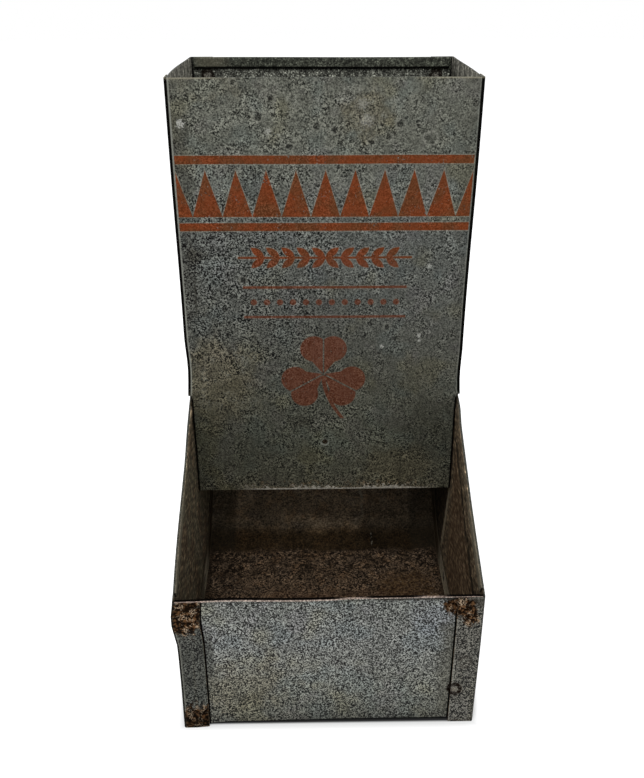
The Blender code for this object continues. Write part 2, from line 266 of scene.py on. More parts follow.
class Paint:
    """One material and the fields that its surface is made of."""

    def __init__(self, name):
        self.material, self.tree, self.shader = new_material(name)
        plug(self.shader.inputs["Specular IOR Level"], SPECULAR)
        unbent = self.tree.nodes.new("ShaderNodeAttribute")
        unbent.attribute_name = UNBENT
        self.place = unbent.outputs["Vector"]
        parts = self.tree.nodes.new("ShaderNodeSeparateXYZ")
        self.tree.links.new(self.place, parts.inputs[0])
        self.x, self.y, self.z = (Field(output) for output in parts.outputs)
        geometry = self.tree.nodes.new("ShaderNodeNewGeometry")
        facing = self.tree.nodes.new("ShaderNodeSeparateXYZ")
        self.tree.links.new(geometry.outputs["True Normal"], facing.inputs[0])
        self.face_x, self.face_y, self.face_z = (Field(output) for output in facing.outputs)
        self.layers = 0

    def moved(self, operation, vector, other):
        """Coordinates multiplied by a vector or added to it."""
        node = self.tree.nodes.new("ShaderNodeVectorMath")
        node.operation = operation
        self.tree.links.new(vector, node.inputs[0])
        plug(node.inputs[1], other)
        return node.outputs[0]

    def spread(self, size, stretch):
        """Coordinates in which a texture's features come out at that size, each layer elsewhere."""
        self.layers += 1
        vector = self.moved("MULTIPLY", self.place, tuple(1 / (size * part) for part in stretch))
        return self.moved("ADD", vector, tuple(part * self.layers for part in LAYER_SHIFT))

    def noise_over(self, vector, detail, roughness):
        """Soft noise over those coordinates, mostly between -1 and 1."""
        node = self.tree.nodes.new("ShaderNodeTexNoise")
        self.tree.links.new(vector, node.inputs["Vector"])
        plug(node.inputs["Scale"], 1.0)
        plug(node.inputs["Detail"], detail)
        plug(node.inputs["Roughness"], roughness)
        return (Field(node.outputs[0]) - 0.5) * NOISE_GAIN

    def cloud(self, size, detail=2.0, roughness=0.5, stretch=(1, 1, 1)):
        """Soft noise with features of that size, in millimetres."""
        return self.noise_over(self.spread(size, stretch), detail, roughness)

    def streaks(self, size, length):
        """Soft noise drawn out along z."""
        return self.cloud(size, 2.0, 0.6, stretch=(1, 1, length / size))

    def slanted(self, size, length):
        """Soft noise drawn out along lines that rise like the sides' sloped edge."""
        self.layers += 1
        vector = self.tree.nodes.new("ShaderNodeCombineXYZ")
        plug(vector.inputs[0], (self.z - SLOPE * self.y) / size + SLANT_SHIFT * self.layers)
        plug(vector.inputs[1], self.y / length + 0.03 * self.x)
        return self.noise_over(vector.outputs[0], 3.0, 0.5)

    def spots(self, size, radius, share, soft):
        """Round spots in a share of scattered cells; radius is a share of the cell."""
        node = self.tree.nodes.new("ShaderNodeTexVoronoi")
        self.tree.links.new(self.spread(size, (1, 1, 1)), node.inputs["Vector"])
        plug(node.inputs["Scale"], 1.0)
        number = self.tree.nodes.new("ShaderNodeSeparateColor")
        self.tree.links.new(node.outputs["Color"], number.inputs[0])
        chosen = step(Field(number.outputs[0]), 1 - share - 0.01, 1 - share + 0.01)
        return step(Field(node.outputs["Distance"]), radius + soft, radius - soft) * chosen

    def near(self, centre, stretch):
        """The distance from a place, longer along an axis where its stretch is less than 1."""
        offsets = (self.x - centre[0], self.y - centre[1], self.z - centre[2])
        return reach(*(offset / part for offset, part in zip(offsets, stretch)))

    def patch(self, place, stretch, depth, size, low, high, detail=2.0):
        """0 beyond low and 1 within high of a place, with an edge that waves to that depth and size."""
        return step(self.near(place, stretch) + depth * self.cloud(size, detail), low, high)

    def outward(self):
        """The normal's part away from the middle: 1 on a side's outer face and -1 on its inner one."""
        return self.face_x * (2.0 * step(self.x, -0.01, 0.01) - 1.0)

    def finish(self, colour, roughness, metallic, height):
        """Wires the fields to the shader. Height is in millimetres."""
        plug(self.shader.inputs["Base Color"], colour)
        plug(self.shader.inputs["Roughness"], roughness)
        plug(self.shader.inputs["Metallic"], metallic)
        node = self.tree.nodes.new("ShaderNodeBump")
        plug(node.inputs["Strength"], BUMP)
        plug(node.inputs["Distance"], MM)
        plug(node.inputs["Height"], height)
        self.tree.links.new(node.outputs["Normal"], self.shader.inputs["Normal"])
        return self.material


# Surfaces that several sheets share

# Tints in soft patches: strength, the patches' size and threshold, and the tint: cool, violet and olive on
# zinc, brown and blue on dirt
ZINC_TINTS = (
    (0.5, 19, 0.0, (0.90, 1.00, 1.08)),
    (0.4, 15, 0.1, (1.03, 0.96, 1.07)),
    (0.7, 24, 0.1, (1.05, 1.0, 0.84)),
)
DIRT_TINTS = (
    (0.5, 9, 0.0, (1.12, 0.98, 0.84)),
    (0.7, 12, 0.0, (0.96, 1.0, 1.08)),
)
RUST_DARK = srgb(18, 9, 2)
RUST_MID = srgb(94, 68, 44)
RUST_PALE = srgb(178, 158, 134)
WHITE_CRUST = srgb(172, 168, 156)
# Near-black for painted shade in gaps, under hems and on bends that turn away from the light
PAINTED_SHADE_BLACK = srgb(8, 8, 7)
ZINC_METALLIC = 0.25
GRAIN = 0.6
GAMMA = 2.2


def shifting(paint, tints):
    """A tint that changes from patch to patch."""
    tint = (1.0, 1.0, 1.0)
    for strength, size, low, other in tints:
        tint = blend(strength * step(paint.cloud(size, 2.0), low, low + 0.6), tint, other)
    return tint


def brightness(mixed, darkest):
    """A linear factor round 1 for a mix of noises that is even to the eye."""
    return calculate("POWER", larger(1.0 + mixed, darkest), GAMMA)


def grainy(paint, grain, patches):
    """Salt and pepper, stronger in some patches: a factor round 1 and a height."""
    fine = paint.cloud(GRAIN, 0.0)
    medium = paint.cloud(GRAIN * 1.9, 1.0)
    coarse = paint.cloud(GRAIN * 4.4, 2.0)
    strength = grain * (1.0 + patches * (step(paint.cloud(9, 2.0), -0.5, 0.7) - 0.5))
    mixed = (0.35 * fine + 0.22 * medium + 0.09 * coarse) * strength
    mixed = mixed - 0.35 * mixed * mixed
    return brightness(mixed, 0.18), 0.1 * mixed


def galvanised(paint, base, grain=1.0, patches=0.85):
    """Dull, grainy zinc whose tint shifts: its colour, its grain and its height."""
    tone, height = grainy(paint, grain, patches)
    tint = shifting(paint, ZINC_TINTS)
    broad = 1.0 + 0.12 * paint.cloud(26, 3.0, 0.55)
    return scaled(tinted(base, tint), tone * broad), tone, height


def rust(paint):
    """Crusted brown rust with black pits and pale curls, darker at the feet: its colour and its height."""
    coarse = paint.cloud(1.7, 3.0, 0.65)
    ridges = step(abs(paint.cloud(1.5, 2.0, 0.6)), 0.24, 0.05)
    curls = ridges * step(paint.cloud(3.2, 2.0), -0.05, 0.4)
    colour = blend(step(coarse, 0.0, 0.5), RUST_DARK, RUST_MID)
    colour = blend(0.9 * curls, colour, RUST_PALE)
    return scaled(colour, 1.0 - 0.35 * step(paint.z, 16, 8)), 0.25 * coarse + 0.35 * curls


def dirt(paint, base, grain=1.0):
    """Caked dust and rust on the sheet: its colour and its height."""
    fine = paint.cloud(0.95, 0.0)
    medium = paint.cloud(2.2, 3.0, 0.6)
    broad = paint.cloud(12, 2.0)
    mixed = grain * (0.45 * fine + 0.42 * medium) + 0.2 * broad
    mixed = mixed - 0.2 * mixed * mixed
    tint = shifting(paint, DIRT_TINTS)
    return scaled(tinted(base, tint), brightness(mixed, 0.25)), 0.2 * mixed


def with_runs(paint, colour, tone):
    """A sheet's colour with faint dark runs down it."""
    runs = paint.streaks(3.0, 60)
    return stain(colour, 0.35 * step(runs, 0.2, 0.9), (66, 64, 55), tone)


# The print: a toothed border, a sprig, dots between rules, and a clover, each drawn as 1 inside its outline,
# which can grow by some millimetres

BAND_LOW = 239.5
BAND_HIGH = 278.1
RAIL = 4.2
TOOTH = 15.0
TOOTH_MARGIN = 3.2
TEETH_ASIDE = 41.5
SPRIG_HEIGHT = 225.0
LEAF_LENGTH = 9.0
LEAF_HALF = 1.9
LEAF_PITCH = 8.0
LEAVES = 5
LEAF_ANGLE = math.radians(38)
STEM_HALF = 0.6
STEM_END = 46.0
RULE_HALF = 44.0
RULE_THICKNESS = 1.4
RULES = (208.5, 191.5)
DOTS_HEIGHT = 200.0
DOT_PITCH = 7.0
DOT = 1.7
DOTS_ASIDE = 40.5
CLOVER = (-1.0, 157.0)
LOBE = 10.6
LOBE_TURNS = (0, 120, -120)
PRINT_HALF = 74.8


def border(x, z, grow):
    """Two rails with a row of teeth between them."""
    rails = between(z, BAND_LOW - grow, BAND_LOW + RAIL + grow, 0.12)
    rails = larger(rails, between(z, BAND_HIGH - RAIL - grow, BAND_HIGH + grow, 0.12))
    low = BAND_LOW + RAIL + TOOTH_MARGIN
    high = BAND_HIGH - RAIL - TOOTH_MARGIN
    slope = (high - low) / (TOOTH / 2)
    across = calculate("PINGPONG", x + TEETH_ASIDE * TOOTH, TOOTH / 2)
    teeth = step(z - low - across * slope, 0.6 + 3.1 * grow, -0.6 + 3.1 * grow)
    return larger(rails, teeth * step(z, low - 0.12 - grow, low + 0.12 - grow))


def sprig(x, z, grow):
    """A stem with pairs of leaves that point outwards."""
    away = abs(x)
    lift = abs(z - SPRIG_HEIGHT)
    along = calculate("MODULO", away, LEAF_PITCH)
    out = along * math.cos(LEAF_ANGLE) + lift * math.sin(LEAF_ANGLE)
    aside = abs(lift * math.cos(LEAF_ANGLE) - along * math.sin(LEAF_ANGLE))
    middle = (out - LEAF_LENGTH / 2) / (LEAF_LENGTH / 2 + grow)
    leaf = step(aside - (LEAF_HALF + grow) * (1.0 - middle * middle), 0.15, -0.15)
    leaf = leaf * step(away, LEAF_PITCH * LEAVES + 0.1, LEAF_PITCH * LEAVES - 0.1)
    stem = step(lift, STEM_HALF + 0.15 + grow, STEM_HALF - 0.15 + grow)
    stem = stem * step(away, STEM_END + 0.2 + grow, STEM_END - 0.2 + grow)
    return larger(leaf, stem)


def rules(x, z, grow):
    """Two thin rules with a row of dots between them."""
    ends = step(abs(x), RULE_HALF + 0.2 + grow, RULE_HALF - 0.2 + grow)
    thick = RULE_THICKNESS / 2
    lines = larger(*(step(abs(z - height), thick + 0.15 + grow, thick - 0.15 + grow) for height in RULES))
    lines = lines * ends
    across = calculate("PINGPONG", x + DOTS_ASIDE * DOT_PITCH, DOT_PITCH / 2)
    dots = step(reach(across, z - DOTS_HEIGHT), DOT + 0.15 + grow, DOT - 0.15 + grow)
    return larger(lines, dots * step(abs(x), RULE_HALF - 1.9, RULE_HALF - 2.1))


def clover(x, z, grow):
    """Three notched leaves, one after each turn, on a bent stem."""
    x = x - CLOVER[0]
    z = z - CLOVER[1]
    leaves = []
    for turn in LOBE_TURNS:
        angle = math.radians(turn)
        along = x * math.sin(angle) + z * math.cos(angle)
        aside = abs(x * math.cos(angle) - z * math.sin(angle))
        lobe = step(reach(aside - 0.50 * LOBE, along - 1.45 * LOBE), 0.74 * LOBE + grow, 0.70 * LOBE + grow)
        wedge = step(aside - 0.82 * along, 0.2 + grow, -0.2 + grow) * step(along, 1.3 * LOBE, 1.2 * LOBE)
        leaves.append(larger(lobe, wedge) * step(aside, 0.25 - grow, 0.55 - grow))
    stem = step(abs(x - 0.014 * z * z), 1.35 + grow, 0.95 + grow) * between(z, -28.0 - grow, -1.0, 0.3)
    return larger(*leaves, stem)


def printed(paint, grow=0.0):
    """1 where the printed design lies on the hopper's front."""
    return larger(*(shape(paint.x, paint.z, grow) for shape in (border, sprig, rules, clover)))


# Marks on the hopper's front

# Dark spots: x and z, and radius
DARK_SPOTS = (
    (-33.5, 296.9, 1.9),
    (-27.2, 305.7, 1.8),
    (-4.6, 292.1, 1.7),
    (36.9, 293.2, 1.9),
    (31.4, 286.9, 1.4),
    (22.6, 284.3, 1.5),
    (4.2, 290.5, 1.6),
    (-44.7, 313.2, 1.3),
    (-17.9, 282.4, 1.5),
    (-43.9, 212.6, 1.5),
    (34.0, 185.1, 1.5),
    (-18.2, 117.4, 0.9),
    (-13.7, 117.3, 0.9),
    (-23.5, 126.3, 0.9),
    (65.6, 140.0, 0.8),
)
# Pale spots: x and z, radius and strength
PALE_SPOTS = (
    (-70.8, 293.6, 1.7, 0.65),
    (31.2, 173.5, 0.9, 0.7),
    (55.7, 220.1, 1.0, 0.5),
    (52.1, 180.4, 1.1, 0.6),
    (52.6, 177.0, 0.8, 0.5),
    (-28.6, 290.0, 1.4, 0.35),
    (18.0, 303.0, 2.4, 0.22),
    (20.0, 294.5, 2.8, 0.22),
)
# Darker places: x and z, half width and half height, strength
SHADES = (
    ((-60.0, 128.0), (22, 26), 0.15),
    ((-40.0, 108.0), (16, 14), 0.25),
    ((-14.0, 127.0), (10, 5), 0.45),
    ((58.0, 122.0), (20, 28), 0.4),
    ((-68.0, 227.0), (7, 5), 0.55),
    ((74.0, 250.0), (7, 90), 0.25),
    ((-74.0, 250.0), (10, 90), 0.45),
)
# Thin dark runs: x, and z from and to
RUN_MARKS = ((-29.1, 86.0, 97.0), (-14.1, 89.0, 95.0), (44.5, 82.0, 106.0), (-69.3, 193.0, 211.0))
# A round stain with a pale rim: x and z, and radius
STAIN = (52.4, 286.6, 3.6)

# Rust on the trough's front corners: centre and reach, on flange and wall alike

FRONT_RUST = (
    ((-70.0, FRONT, 73.5), (13.0, 9, 12.5)),
    ((-69.0, FRONT, 6.5), (10.5, 9, 9.0)),
    ((64.5, FRONT, 77.5), (8.6, 9, 6.6)),
    ((69.5, FRONT, 71.5), (4.6, 9, 6.0)),
)


def front_rust(paint):
    """1 in the rusted patches of the trough's front."""
    wobble = 0.45 * paint.cloud(3.6, 3.0, 0.6)
    patches = (step(paint.near(place, size) + wobble, 1.12, 0.72) for place, size in FRONT_RUST)
    sheets = larger(step(paint.x, 0, 1), step(paint.x, 0.4 - FLANGE_EDGE, 0.1 - FLANGE_EDGE))
    return larger(*patches) * sheets * step(paint.y, FRONT + 4, FRONT + 3)


def hopper_zinc(paint):
    """Speckled zinc that is coarser on the left: its colour, its grain and its height."""
    # Darker towards the bottom, partly dirt and partly painted shade near the trough
    base = shades(
        paint.z,
        (
            (FEED_GAP, srgb(75, 73, 61)),
            (115.0, srgb(73, 74, 64)),
            (150.0, srgb(69, 69, 61)),
            (195.0, srgb(75, 76, 71)),
            (235.0, srgb(79, 81, 77)),
            (285.0, srgb(85, 86, 78)),
            (TOP, srgb(87, 88, 80)),
        ),
    )
    rough = between(paint.z, 165, 255, 25) * step(paint.x, 15, -40)
    fine_top = step(paint.z, 245, 285) * step(paint.x, -20, 50)
    smooth_right = between(paint.z, 120, 190, 20) * step(paint.x, -10, 40)
    foot = step(paint.z, FEED_GAP + 16, FEED_GAP + 4)
    centre = between(paint.z, 112, 142, 8) * step(abs(paint.x), 34, 14)
    grain = 1.25 + 1.15 * rough - 0.35 * fine_top - 0.3 * smooth_right + 0.5 * foot + 0.5 * centre
    colour, tone, height = galvanised(paint, base, grain)
    return stain(colour, 0.35 * rough, (58, 59, 56), tone), tone, height


def hopper_stains(paint, colour, tone):
    """Olive and dark stains, darker places and pale curls."""
    olive = larger(
        paint.patch((-60, HOPPER_FRONT, 152), (1.0, 1, 1.2), 8, 12, 30, 12),
        paint.patch((42, HOPPER_FRONT, 96), (1.3, 1, 1), 6, 9, 22, 8),
        paint.patch((20, HOPPER_FRONT, 297), (1, 1, 1), 6, 8, 16, 8),
        0.5 * paint.patch((-58, HOPPER_FRONT, 312), (1.6, 1, 1), 5, 6, 12, 5),
    )
    colour = stain(colour, 0.4 * olive, (84, 76, 56), tone)
    dark = step(paint.cloud(7.0, 3.0, 0.6), 0.25, 0.8) * step(paint.x, 20, -30)
    colour = stain(colour, 0.35 * dark, (52, 54, 50), tone)
    for place, size, strength in SHADES:
        away = paint.near((place[0], HOPPER_FRONT, place[1]), (size[0], 1000, size[1]))
        shade = step(away + 0.35 * paint.cloud(7.0), 1.1, 0.4)
        colour = stain(colour, strength * shade, (42, 40, 33), tone)

    curls = step(abs(paint.cloud(2.0, 2.0, 0.6)), 0.22, 0.03) * step(paint.cloud(7.0, 2.0), 0.1, 0.6)
    high = step(paint.z, 200, 280) * step(abs(paint.x + 8), 60, 40)
    low = step(abs(paint.z - 165), 40, 15) * step(paint.x, -20, -45)
    return blend(0.62 * curls * larger(high, 0.6 * low), colour, srgb(138, 139, 128))


def hopper_marks(paint, colour, tone, wobble):
    """Dark and pale spots, thin runs and a round stain."""
    broken = 0.4 + 0.6 * step(paint.cloud(0.9, 1.0), -0.5, 0.3)
    for x, z, radius in DARK_SPOTS:
        away = reach(paint.x - x, paint.z - z) / radius + wobble
        colour = blend(0.35 * step(abs(away - 1.35), 0.4, 0.1), colour, srgb(128, 128, 118))
        colour = blend(broken * step(away, 1.2, 0.6), colour, srgb(28, 28, 25))
    ragged = 0.8 * paint.cloud(0.8, 2.0)
    for x, z, radius, strength in PALE_SPOTS:
        spot = step(reach(paint.x - x, paint.z - z) / radius + ragged, 1.3, 0.8)
        colour = blend(strength * spot * broken, colour, srgb(186, 186, 178))
    for x, low, high in RUN_MARKS:
        run = step(abs(paint.x - x + 0.3 * paint.cloud(6.0)), 0.8, 0.2) * between(paint.z, low, high, 2.5)
        colour = blend(0.55 * run, colour, srgb(36, 35, 29))
    ring = reach(paint.x - STAIN[0], paint.z - STAIN[1]) + wobble + 1.1 * paint.cloud(3.0, 2.0)
    colour = stain(colour, 0.35 * step(ring, STAIN[2], STAIN[2] - 1.2), (48, 48, 43), tone)
    return blend(0.5 * broken * step(abs(ring - STAIN[2]), 0.7, 0.2), colour, srgb(136, 136, 126))


def hopper_print(paint, colour, tone, front):
    """The worn print with its pale halo: the colour, and where the ink is."""
    chips = step(paint.cloud(1.1, 3.0, 0.7) + 0.35 * paint.cloud(7.0, 2.0), 0.95, 0.5)
    shown = chips * front * step(abs(paint.x), PRINT_HALF + 0.1, PRINT_HALF - 0.1)
    worn = step(paint.z + 6 * paint.cloud(9.0), 236, 196)
    ink = printed(paint) * shown * (1.0 - 0.18 * worn)
    halo = printed(paint, 0.45) * shown * (1.0 - ink) * (1.0 - 0.7 * worn)
    colour = blend(0.3 * halo, colour, srgb(146, 138, 122))
    red = blend(step(paint.cloud(9.0, 2.0), -0.6, 0.6), srgb(106, 49, 18), srgb(91, 50, 23))
    red = blend(worn, red, srgb(90, 46, 27))
    return blend(0.95 * ink, colour, scaled(red, 0.75 + 0.25 * tone)), ink


def hopper_foot(paint, colour, tone, front):
    """Brown and white crust along the lower edge: the colour, and where the crust is."""
    line = step(paint.cloud(1.9, 3.0, 0.6), -0.2, 0.5) * step(paint.cloud(14, 2.0), -0.5, 0.2)
    crusted = step(abs(paint.x - 8), 62, 40) * front
    brown = step(paint.z - FEED_GAP - 5.0 * line, 2.5, 0.5) * crusted
    colour = stain(colour, 0.5 * brown, (96, 78, 56), tone)
    crust = step(paint.z - FEED_GAP - 2.8 * line, 1.3, 0.5) * crusted
    return blend(0.75 * crust, colour, scaled(WHITE_CRUST, 0.6 + 0.4 * tone)), crust


def hopper_edges(paint, colour):
    """A painted highlight and a painted shade line down each fold, and a pale rim: the colour, and where the
    painted shade is.
    """
    sideways = abs(paint.x)
    wrapped = step(paint.z, WRAP_FOOT - 2, WRAP_FOOT + 3)
    near_front = step(paint.y, HOPPER_FRONT + 2.6, HOPPER_FRONT + 1.8)
    # Painted highlight: a pale line down each fold of the front, where the bend catches the light
    edge = between(sideways, HOPPER_SIDE - 2.4, HOPPER_SIDE - 1.4, 0.2) * wrapped * near_front
    left = step(paint.x, 0, -1)
    colour = blend((0.25 + 0.35 * left) * edge, colour, srgb(140, 141, 132))
    # Painted shade: near-black on the bends that turn away from the light, and in the gap beside the tongue
    painted_bend_shade = step(sideways - 0.2 * left, HOPPER_SIDE - 1.95, HOPPER_SIDE - 1.65) * near_front * wrapped
    tongue_gap_shade = step(sideways, HOPPER_SIDE - 3.2, HOPPER_SIDE - 3.0) * step(paint.z, WRAP_FOOT, WRAP_FOOT - 3)
    painted_bend_shade = larger(painted_bend_shade, tongue_gap_shade * near_front)
    colour = blend(0.96 * painted_bend_shade, colour, PAINTED_SHADE_BLACK)
    rim = step(paint.z, TOP - 0.8, TOP - 0.5) * 0.45 * step(sideways + 6 * paint.cloud(12.0), 38, 62)
    return blend(rim, colour, srgb(154, 148, 128)), painted_bend_shade


def hopper_steel():
    """The hopper's front: speckled zinc, stains, marks, the print, a dusty inner face, and painted highlights
    and shade at the hole and the folds.
    """
    paint = Paint("hopper_steel")
    front = step(paint.face_y, -0.7, -0.9)
    colour, tone, height = hopper_zinc(paint)
    colour = hopper_stains(paint, colour, tone)
    wobble = 0.45 * paint.cloud(1.3, 2.0)
    colour = hopper_marks(paint, colour, tone, wobble)
    colour, ink = hopper_print(paint, colour, tone, front)
    colour, crust = hopper_foot(paint, colour, tone, front)
    hole = reach(paint.x, paint.z - HOLE_HEIGHT)
    # Painted highlight round the small hole, stronger on its lower edge
    rim_light = step(hole + 0.3 * wobble, 2.9, 2.2)
    rim_light = rim_light * (0.15 + 0.5 * step(paint.z, HOLE_HEIGHT + 0.6, HOLE_HEIGHT - 1.4))
    colour = blend(rim_light * front, colour, srgb(140, 142, 132))
    colour, painted_bend_shade = hopper_edges(paint, colour)
    inner = step(paint.face_y, 0.3, 0.5)
    lines = paint.streaks(1.6, 24)
    dusty = varied(srgb(96, 92, 82), 0.4 * lines + 0.3 * paint.cloud(1.0, 1.0))
    colour = blend(inner, colour, dusty)
    roughness = 0.56 + 0.14 * step(tone, 1.2, 0.6) + 0.12 * ink
    # The painted bend shade is fully rough and metallic, so that it stays black
    roughness = blend_value(painted_bend_shade, roughness, 1.0)
    metallic = blend_value(painted_bend_shade, ZINC_METALLIC, 1.0)
    return paint.finish(colour, roughness, metallic, height + 0.2 * crust + 0.04 * ink)


# Brightness of the ramp at distances behind the feeder's middle: darker towards its foot, partly dirt and
# partly painted shade
RAMP_SHADES = (
    (34.0, (0.17, 0.14, 0.10)),
    (40.0, (0.18, 0.15, 0.11)),
    (43.0, (0.31, 0.28, 0.24)),
    (46.0, (0.56, 0.56, 0.56)),
    (50.0, (0.84, 0.84, 0.84)),
    (60.0, (1.0, 1.0, 1.0)),
)


def pan_zinc(paint):
    """Speckled zinc, with darker strips beside the flanges: its colour, its grain and its height."""
    base = shades(
        paint.z,
        (
            (3.4, srgb(70, 70, 64)),
            (10.0, srgb(78, 79, 73)),
            (24.0, srgb(90, 91, 85)),
            (55.0, srgb(94, 95, 92)),
            (TROUGH_TOP, srgb(91, 93, 89)),
        ),
    )
    outer, tone, height = galvanised(paint, base, 2.5, 0.4)
    warm = paint.patch((-44, WALL, 24), (1.5, 1, 1), 8, 9, 24, 8)
    outer = stain(outer, 0.4 * warm, (84, 77, 58), tone)
    blue = paint.patch((55, WALL, 70), (1.2, 1, 1), 5, 7, 16, 5)
    outer = stain(outer, 0.35 * blue, (88, 92, 100), tone)
    aside = abs(paint.x) + 0.3 * paint.cloud(5.0)
    left_strip = between(aside, FLANGE_EDGE - 4.5, FLANGE_EDGE, 0.25) * step(paint.x, 1, -1)
    outer = stain(outer, 0.8 * left_strip * between(paint.z, 30, 61, 6), (60, 61, 57), tone)
    right_strip = step(paint.x + 1.5 * paint.cloud(6.0), FLANGE_EDGE - 11, FLANGE_EDGE - 3)
    dull = scaled(srgb(70, 69, 61), 0.45 + 0.55 * tone)
    return blend(0.75 * right_strip * between(paint.z, 6, 68, 5), outer, dull), tone, height


def ramp_and_floor(paint):
    """Caked dirt, rust and drips inside the pan, with painted shade and a painted pool of light on the ramp:
    the colour, faint streaks and the height.
    """
    crumbly = step(paint.cloud(8.0, 3.0, 0.6), -0.5, 0.6)
    floor_dirt, floor_height = dirt(paint, srgb(73, 60, 47), 0.95 + 0.9 * crumbly)
    ramp_dirt, _ = dirt(paint, srgb(126, 111, 91), 0.6)
    lines = paint.streaks(2.0, 30)
    height_up = paint.y + 0.8 * paint.cloud(6.0)
    climb = shades(height_up, RAMP_SHADES)
    ramp_dirt = varied(tinted(ramp_dirt, climb), 0.16 * lines)
    # Painted shade over the ramp's right part, stronger towards its foot
    painted_shade_right = step(paint.x + 4 * paint.cloud(9.0), 20, 34) * (0.26 + 0.16 * step(height_up, 52, 46))
    # Painted light: a lighter patch across the middle of the ramp
    painted_light = reach((paint.x + 1) / 24, (paint.y - 46) / 5) + 0.6 * paint.cloud(7.0, 3.0)
    ramp_dirt = scaled(ramp_dirt, (1.0 - painted_shade_right) * (1.0 + 0.45 * step(painted_light, 1.3, 0.2)))
    strips = step(abs(paint.x), 56.0, 60.0)
    ramp_dirt = blend(0.5 * strips, ramp_dirt, srgb(40, 36, 28))
    ragged = 1.0 * paint.cloud(2.4, 2.0) + 2.2 * paint.cloud(9.0, 3.0)
    on_ramp = step(height_up + ragged, RAMP_FOOT - 4.8, RAMP_FOOT - 0.4)
    inside = blend(on_ramp, floor_dirt, ramp_dirt)
    blots = step(paint.cloud(3.0, 3.0, 0.65), 0.0, 0.35) * step(abs(paint.y - 20), 20, 6)
    inside = blend(0.8 * blots, inside, srgb(20, 14, 8))
    rusty_floor = paint.patch((52, -3, 12), (1.4, 1, 1), 6, 5, 19, 8, 3.0)
    orange = blend(step(paint.cloud(1.7, 3.0, 0.7), -0.3, 0.6), srgb(40, 25, 12), srgb(100, 78, 52))
    inside = blend(0.65 * rusty_floor, inside, orange)
    warm = paint.patch((0, -22, 11), (4, 1, 1), 5, 6, 22, 6, 3.0)
    warm_dirt = varied(srgb(76, 54, 40), 0.4 * paint.cloud(1.0, 2.0))
    inside = blend(0.4 * warm, inside, warm_dirt)
    specks = paint.spots(2.6, 0.2, 0.12, 0.12) * step(paint.y, RAMP_FOOT - 2, RAMP_FOOT - 7)
    inside = blend(0.7 * specks, inside, srgb(118, 106, 90))
    broken = step(paint.cloud(2.2, 2.0), -0.2, 0.4)
    upper_drip = step(abs(paint.x - 26.5 - 1.2 * paint.cloud(7.0)), 1.0, 0.4)
    upper_drip = upper_drip * between(paint.y, 50, 68, 2)
    lower_drip = step(abs(paint.x - 32.0 - 0.5 * paint.cloud(4.0)), 0.7, 0.3)
    lower_drip = lower_drip * between(paint.y, 35, 41, 1)
    drips = larger(upper_drip * (0.2 + 0.5 * step(paint.y, 60, 64) + 0.3 * broken), lower_drip * broken)
    inside = blend(0.75 * drips, inside, srgb(150, 144, 130))
    # Painted shade in the floor's corners along the side walls
    painted_corner_shade = step(abs(paint.x), PAN_SIDE - 6, PAN_SIDE - 1.8) * (1.0 - on_ramp)
    return blend(0.6 * painted_corner_shade, inside, srgb(26, 19, 12)), lines, floor_height


def pan_flange(paint, inward, lines):
    """The pan's upturned side edges, pale with a painted highlight beside the trough."""
    # The pale colour is a painted highlight where the upturned edges catch the light
    flange = varied(srgb(150, 140, 120), 0.4 * paint.cloud(0.9, 1.0) + 0.3 * lines)
    flange = blend(1.0 - step(paint.y, 30, 5), flange, srgb(58, 48, 34))
    flange = blend(0.7 * step(paint.y, -1, -10) * step(paint.x, 1, -1), flange, srgb(60, 52, 40))
    return blend(step(inward, 0.5, 0.0), flange, srgb(62, 54, 42))


def pan_rim(paint, colour, tone):
    """The front wall's rim, a painted highlight on the lip between painted shade lines: the colour, and where
    the painted shade is black.
    """
    rim = paint.z - TROUGH_TOP + 0.7 * (paint.y - WALL) + 0.08 * paint.cloud(7.0)
    edge = step(paint.y, WALL + 5, WALL + 4)
    # Painted shade in a band below the lip
    shade_below_lip = between(rim, -2.7, -1.4, 0.2) * step(paint.face_y, -0.7, -0.9)
    colour = blend(0.35 * shade_below_lip, colour, srgb(48, 46, 42))
    thin = step(paint.x + 3 * paint.cloud(8.0), -5, 15)
    # Painted highlight on the rounded lip
    lip_highlight = between(rim - 0.5 * thin, -1.4, -0.3, 0.1) * edge
    bright = larger(step(paint.x, -58, -62), 0.6 * step(paint.x, 64, 68))
    lip_highlight_colour = scaled(srgb(160, 144, 134), (0.6 + 0.4 * tone) * (1.0 + 0.5 * bright))
    colour = blend((0.8 + 0.15 * bright) * lip_highlight, colour, lip_highlight_colour)
    # Painted shade in a thin line below the lip, on the right
    shade_line_below_lip = between(rim, -2.0, -1.0, 0.15) * step(paint.x, 18, 30) * edge
    colour = blend(0.85 * shade_line_below_lip, colour, srgb(32, 29, 25))
    # Painted shade: a near-black line along the top of the hem, missing in two places
    no_rim_shade = larger(between(paint.x, 5, 18, 4), between(paint.x, 44, 56, 4))
    painted_rim_shade = step(rim, -0.6, -0.4) * edge * (1.0 - 0.9 * no_rim_shade)
    return blend(0.97 * painted_rim_shade, colour, PAINTED_SHADE_BLACK), painted_rim_shade


